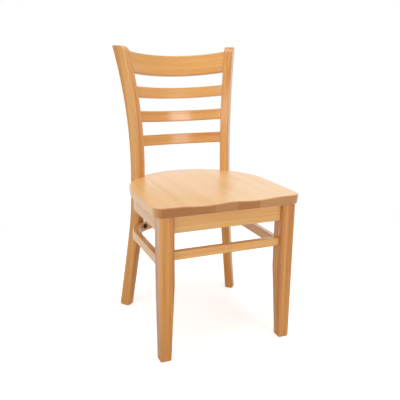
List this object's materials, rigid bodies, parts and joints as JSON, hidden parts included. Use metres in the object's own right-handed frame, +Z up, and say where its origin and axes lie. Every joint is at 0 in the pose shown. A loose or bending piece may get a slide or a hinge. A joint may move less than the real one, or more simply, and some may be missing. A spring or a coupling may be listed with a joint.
{
  "type": "ladderback dining chair",
  "caption": "Armless wooden dining chair with a bowed ladder back, saddled D-shaped seat, bent seat rail and bent stretcher behind tapered front legs.",
  "frame": {"origin": "middle of the box round the whole chair in plan, on the floor", "axes": "+Z up from the floor; -Y the way the chair faces; +X to the right when the chair is looked at from its front"},
  "size_m": [0.444, 0.4966, 0.867],
  "materials": {
    "lacquered_beech": "clear satin lacquer over light beech",
    "bare_beech": "sawn and planed, no lacquer",
    "zinc_plated_steel": "bright zinc plating",
    "blackened_steel": "blackened and oiled"
  },
  "bodies": {
    "root": {"rear_post_right": "lacquered_beech", "rear_post_left": "lacquered_beech", "front_leg_right": "lacquered_beech", "front_leg_left": "lacquered_beech", "back_slat_lower": "lacquered_beech", "back_slat_middle": "lacquered_beech", "back_slat_upper": "lacquered_beech", "crest_rail": "lacquered_beech", "seat": "lacquered_beech", "front_apron": "lacquered_beech", "front_stretcher": "lacquered_beech", "bent_seat_rail": "lacquered_beech", "bent_stretcher": "lacquered_beech", "corner_block_right": "bare_beech", "corner_block_left": "bare_beech", "rear_seat_block": "bare_beech", "post_screws": "zinc_plated_steel", "stretcher_screws": "blackened_steel", "corner_block_screws": "zinc_plated_steel", "seat_screws": "zinc_plated_steel"}
  },
  "joints": []
}
